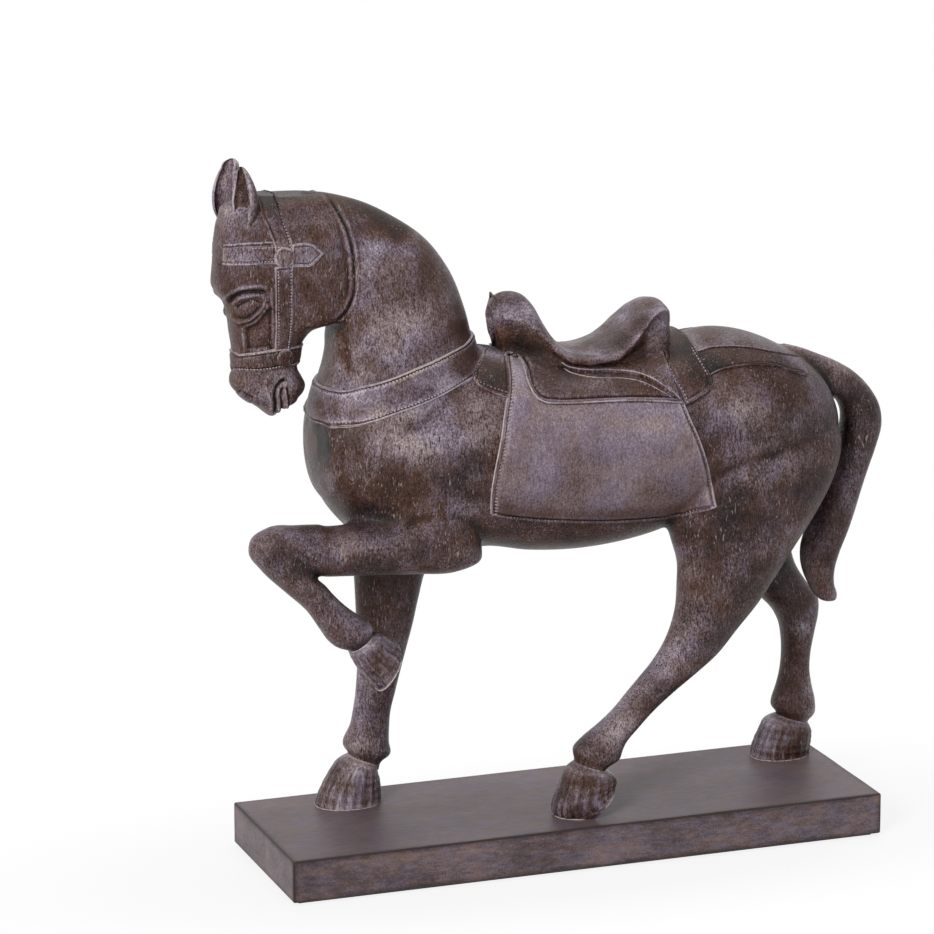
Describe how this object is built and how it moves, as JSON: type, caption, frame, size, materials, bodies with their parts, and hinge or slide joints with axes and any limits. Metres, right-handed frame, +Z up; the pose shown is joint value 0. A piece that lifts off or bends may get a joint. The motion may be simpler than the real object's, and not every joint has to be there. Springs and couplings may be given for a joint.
{
  "type": "horse figurine",
  "caption": "Walking horse figurine with saddle, saddle cloth, breast collar and bridle, one forefoot raised, fixed to a flat rectangular plinth.",
  "frame": {"origin": "centre of the underside of the felt, on the surface that the figurine stands on", "axes": "+Z up, the horse faces -X, its left side (raised forefoot) is towards -Y"},
  "size_m": [0.3711, 0.104, 0.378],
  "materials": {
    "horse_resin": "painted cast resin, dark brown carved-wood look with grey dry brushing, satin",
    "tack_resin": "painted cast resin, tooled-leather look with light worn edges, satin",
    "plinth_resin": "painted cast resin, grey-brown rubbed finish, satin",
    "steel": "zinc-plated",
    "felt": "black felt"
  },
  "bodies": {
    "root": {"plinth": "plinth_resin", "felt": "felt", "rod_fore_right": "steel", "washer_fore_right": "steel", "nut_fore_right": "steel", "rod_hind_left": "steel", "washer_hind_left": "steel", "nut_hind_left": "steel", "rod_hind_right": "steel", "washer_hind_right": "steel", "nut_hind_right": "steel", "torso": "horse_resin", "neck": "horse_resin", "head": "horse_resin", "ear_left": "horse_resin", "ear_right": "horse_resin", "foreleg_left": "horse_resin", "foreleg_right": "horse_resin", "hindleg_left": "horse_resin", "hindleg_right": "horse_resin", "tail": "horse_resin", "breast_collar": "tack_resin", "saddle_cloth": "tack_resin", "saddle_skirt": "tack_resin", "saddle_flap": "tack_resin", "saddle_seat": "tack_resin", "front_pad": "tack_resin", "rear_pad": "tack_resin", "crupper_left": "tack_resin", "crupper_right": "tack_resin", "browband": "tack_resin", "noseband": "tack_resin", "crown_strap": "tack_resin", "cheek_strap_left": "tack_resin", "cheek_strap_right": "tack_resin", "brow_rosette_left": "tack_resin", "brow_rosette_right": "tack_resin", "nose_rosette_left": "tack_resin", "nose_rosette_right": "tack_resin"}
  },
  "joints": []
}
